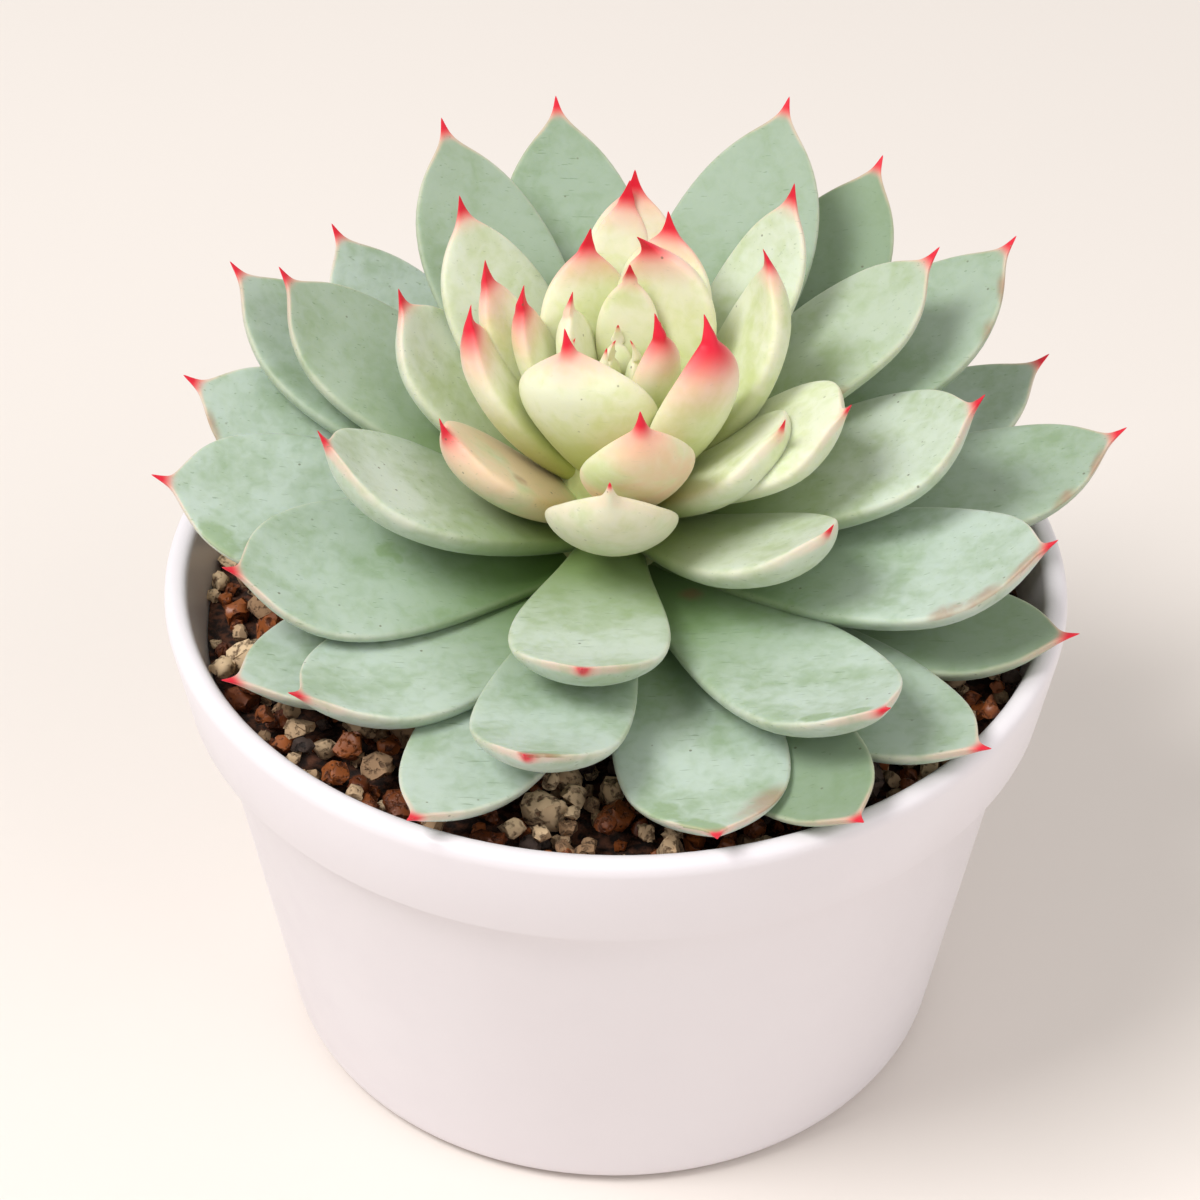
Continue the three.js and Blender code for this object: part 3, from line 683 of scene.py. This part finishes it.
# A pale, slightly pink margin, strongest towards the tip
near_margin = ramp(skin, from_margin, 0.05, 0.8, 1, 0)
near_end = ramp(skin, from_tip, 3, 26, 1, 0.25)
margin = calc(skin, "MULTIPLY", calc(skin, "MULTIPLY", near_margin, near_end), clouds)
colour = blend_colours(skin, calc(skin, "MULTIPLY", margin, 0.6), colour, srgb(238, 224, 202))
pink_edge = calc(skin, "MULTIPLY", near_margin, ramp(skin, from_tip, 2, 9, 0.5, 0))
pink_edge = calc(skin, "MULTIPLY", pink_edge, calc(skin, "MULTIPLY", blush_of_leaf, small_clouds))
colour = blend_colours(skin, pink_edge, colour, srgb(226, 124, 120))

# Peach and pink blush, then the crimson tip
peach = calc(skin, "MULTIPLY", peach_of_leaf, ramp(skin, soft_clouds, 0.25, 0.6))
colour = blend_colours(skin, peach, colour, srgb(236, 190, 150))
reach_of_blush = calc(skin, "MULTIPLY", ramp(skin, youth, 0.5, 0.85, 2.9, 6.6), blush_of_leaf)
blush = ramp(skin, calc(skin, "DIVIDE", from_tip, reach_of_blush), 0.35, 1.25, 1, 0)
colour = blend_colours(skin, calc(skin, "MULTIPLY", blush, 0.8), colour, srgb(244, 160, 150))
reach_of_red = calc(skin, "MULTIPLY", ramp(skin, youth, 0.5, 0.85, 2.4, 3.8), blush_of_leaf)
red = ramp(skin, calc(skin, "DIVIDE", from_tip, reach_of_red), 0.6, 1.3, 1, 0)
colour = blend_colours(skin, red, colour, srgb(220, 20, 50))

# Rubbed patches without powder, scorched brown edges, and tiny dark specks and scratches
patch = calc(skin, "MULTIPLY", rubbed, calc(skin, "ADD", clouds, 0.05))
patch = ramp(skin, patch, 0.42, 0.56)
colour = blend_colours(skin, calc(skin, "MULTIPLY", patch, 0.6), colour, srgb(122, 150, 92))
brown = calc(skin, "MULTIPLY", scorched, calc(skin, "ADD", small_clouds, 0.3))
brown = ramp(skin, brown, 0.15, 0.95)
colour = blend_colours(skin, calc(skin, "MULTIPLY", brown, 0.6), colour, srgb(156, 108, 78))
specks = node(skin, "TexVoronoi", {"Vector": leaf_place, "Scale": 1 / (2.6 * MM)}).outputs[0]
speck = ramp(skin, specks, 0.045, 0.085, 1, 0)
speck = calc(skin, "MULTIPLY", speck, ramp(skin, soft_clouds, 0.45, 0.58, 0, 0.7))
colour = blend_colours(skin, speck, colour, srgb(96, 92, 70))
stretched = node(skin, "Mapping", {"Vector": leaf_place, "Scale": (0.12, 1, 1)}).outputs[0]
scratches = noise(skin, stretched, 0.35 * MM, 2)
scratch = ramp(skin, scratches, 0.66, 0.74, 0, 0.5)
scratch = calc(skin, "MULTIPLY", scratch, ramp(skin, youth, 0.5, 0.8, 1, 0.2))
colour = blend_colours(skin, scratch, colour, srgb(110, 132, 100))
skin.node_tree.links.new(colour, leaf_shader.inputs["Base Color"])
gloss = ramp(skin, powder, 0, 1, 0.42, 0.6)
skin.node_tree.links.new(gloss, leaf_shader.inputs["Roughness"])
relief(skin, leaf_shader, clouds, 0.12 * MM)


def bend(points, angle, length, axis):
    """Bends straight points into an arc: towards +x for axis 0, upwards for axis 2."""
    if angle == 0:
        return points
    radius = length / math.radians(angle)
    along = points[:, 1] / radius
    to_centre = radius - points[:, axis]
    bent = points.copy()
    bent[:, 1] = to_centre * np.sin(along)
    bent[:, axis] = radius - to_centre * np.cos(along)
    if axis == 0:
        return bent @ np.array(Matrix.Rotation(math.radians(angle) / 2, 3, "Z")).T
    return bent @ np.array(Matrix.Rotation(-math.radians(angle) / 2, 3, "X")).T


def make_leaf(name, leaf, youth_of_leaf, node_name):
    """A copy of the straight leaf, given its own size and outline, then bent and put in place."""
    body_length = leaf["length"] - SPIKE
    at = np.minimum(straight_points[:, 1] / body, 1)
    stations = np.array(LEAF_STATIONS + [SPIKE_STATION])
    outline = np.interp(at, stations[:, 0], stations[:, 1])
    blunt_outline = np.interp(at, stations[:, 0], stations[:, 2])
    broaden = 1 + leaf["blunt"] * (blunt_outline / outline - 1)
    on_spike = straight_points[:, 1] > body - 0.01
    cage = straight_points.copy()
    cage[:, 0] *= np.where(on_spike, 1, broaden * leaf["width"] / MODEL_WIDTH * CAGE_FULLNESS)
    cage[:, 2] *= np.where(on_spike, 1, leaf["thickness"] / MODEL_THICKNESS * CAGE_FULLNESS)
    plump = np.interp(youth_of_leaf, PLUMPING_AGES, (1, YOUNG_PLUMPNESS))
    cage[:, 2] *= np.where(on_spike | (cage[:, 2] < 0), 1, plump)
    cage[:, 1] = np.where(on_spike, straight_points[:, 1] - body + body_length, at * body_length)
    piece = bpy.data.objects.new(name, straight.data.copy())
    bpy.context.scene.collection.objects.link(piece)
    piece.data.vertices.foreach_set("co", cage.ravel())
    clear_selection()
    piece.select_set(True)
    apply_modifier(piece, "SUBSURF", levels=2, render_levels=2)
    points = np.empty(3 * len(piece.data.vertices))
    piece.data.vertices.foreach_get("co", points)
    points = points.reshape(-1, 3)
    own_outline = stations[:, 1] * (1 - leaf["blunt"]) + stations[:, 2] * leaf["blunt"]
    half = np.interp(np.clip(points[:, 1] / body_length, 0, 1), stations[:, 0], own_outline)
    half *= leaf["width"] / 2
    across = np.clip(np.abs(points[:, 0]) / np.maximum(half, NARROWEST_HALF), 0, 1)
    measured = {
        "from_tip": leaf["length"] - points[:, 1],
        "from_margin": half * (1 - across),
        "youth": np.full(len(points), youth_of_leaf),
        "from_root": points[:, 1] / leaf["length"],
        "blush": np.full(len(points), leaf.get("blush", 1)),
        "peach": np.full(len(points), leaf.get("peach", 0)),
        "painted_shade": np.full(len(points), leaf.get("painted_shade", 0)),
    }
    for defect in ("rubbed", "scorched"):
        strength = np.zeros(len(points))
        for tip_distance, side, radius in leaf.get(defect, ()):
            away = np.hypot(leaf["length"] - points[:, 1] - tip_distance, points[:, 0] - side * half)
            strength = np.maximum(strength, np.clip(MARK_SOFTNESS - away / radius, 0, 1))
        measured[defect] = strength * (points[:, 2] > UNDERSIDE)
    upturned = (points[:, 1] / leaf["length"] - TIP_UPTURN_FROM) / (1 - TIP_UPTURN_FROM)
    points[:, 2] += TIP_UPTURN * leaf["length"] * np.maximum(0, upturned) ** 2
    points[:, 2] += HOLLOW * half * across ** 2
    points = bend(points, leaf.get("sweep", 0), leaf["length"], 0)
    points = bend(points, leaf.get("curl", 0), leaf["length"], 2)
    points = points @ np.array(Matrix.Rotation(math.radians(leaf.get("roll", 0)), 3, "Y")).T
    points = points @ np.array(Matrix.Rotation(math.radians(leaf["rise"]), 3, "X")).T
    points[:, 1] += leaf["reach"]
    points = points @ np.array(Matrix.Rotation(math.radians(leaf["turn"] - 90), 3, "Z")).T
    points[:, 2] += leaf["root"]
    piece.data.vertices.foreach_set("co", (points * MM).ravel())
    for attribute, values in measured.items():
        piece.data.attributes.new(attribute, "FLOAT", "POINT").data.foreach_set("value", values)
    piece.data.update()
    piece.data.shade_smooth()
    piece.data.materials.append(skin)
    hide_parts(node_name)
    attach(piece, "root")


for age, leaf in enumerate(LEAVES):
    share = age / (len(LEAVES) - 1)
    leaf["thickness"] = THIN + THICKER_WITH_WIDTH * leaf["width"]
    leaf["root"] = LOWEST_ROOT + (HIGHEST_ROOT - LOWEST_ROOT) * share ** ROOT_CROWDING
    leaf["reach"] = ROOT_REACH
    make_leaf(f"fleshy_leaf_{age + 1:02d}", leaf, share, f"leaf_{age + 1:02d}")

# Stem and heart
# The short thick stem of the rosette, mostly hidden by the leaves, with the small unopened leaves
# of the growing heart standing in a spiral round its top.
STEM_FOOT = 38 * MM
STEM_RADIUS = 8 * MM
STEM_TOP = 89 * MM
STEM_TOP_RADIUS = 1.8 * MM
STEM_FOOT_CHAMFER = 1.5 * MM
STEM_DISC = 1 * MM
STEM_SIDES = 32
STEM_MIDDLE = 50 * MM
STEM_EDGE = math.radians(60)
GOLDEN_ANGLE = 137.5
HEART_LEAVES = 7
HEART_TURN = 40
HEART_OUTER = dict(rise=68, length=15, width=5, thickness=2.6, root=84, reach=1.6)
HEART_INNER = dict(rise=84, length=11, width=3, thickness=1.8, root=87, reach=0)
HEART_SHAPE = dict(curl=14, blunt=0.2, blush=0.2)

clear_selection()
bpy.ops.mesh.primitive_cylinder_add(vertices=STEM_SIDES, radius=STEM_RADIUS - STEM_FOOT_CHAMFER,
                                    depth=STEM_DISC, location=(0, 0, STEM_FOOT + STEM_DISC / 2))
stem = bpy.context.object
stem.name = "fleshy_stem"
bpy.ops.object.transform_apply(location=True)
select_faces(stem, lambda face: face.normal.z > 0.9)
ring = (STEM_RADIUS - STEM_FOOT_CHAMFER, STEM_FOOT + STEM_DISC)
for radius, height in (
    (STEM_RADIUS, STEM_FOOT + STEM_FOOT_CHAMFER + STEM_DISC),
    (STEM_RADIUS, STEM_MIDDLE),
    (STEM_RADIUS, LOWEST_ROOT * MM),
    *quarter((STEM_RADIUS, LOWEST_ROOT * MM), (STEM_RADIUS, HIGHEST_ROOT * MM),
             (STEM_TOP_RADIUS, STEM_TOP)),
):
    ring = next_ring(ring, radius, height)
clear_selection()
stem.select_set(True)
bpy.context.view_layer.objects.active = stem
bpy.ops.object.shade_smooth_by_angle(angle=STEM_EDGE)
stem_skin, stem_shader = new_finish("stem skin", Roughness=0.6, Subsurface_Weight=0.2,
                                    Subsurface_Scale=1.5 * MM)
scars = noise(stem_skin, object_place(stem_skin), 2 * MM, 4)
tone = blend_colours(stem_skin, scars, srgb(150, 160, 96), srgb(206, 212, 150))
stem_skin.node_tree.links.new(tone, stem_shader.inputs["Base Color"])
relief(stem_skin, stem_shader, scars, 0.3 * MM)
stem.data.materials.append(stem_skin)
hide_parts("stem")
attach(stem, "root")
for n in range(HEART_LEAVES):
    share = n / (HEART_LEAVES - 1)
    leaf = {size: outer + (HEART_INNER[size] - outer) * share
            for size, outer in HEART_OUTER.items()}
    leaf.update(HEART_SHAPE, turn=HEART_TURN + n * GOLDEN_ANGLE)
    make_leaf(f"heart_leaf_{n + 1}", leaf, 1, "stem")
bpy.data.objects.remove(straight)
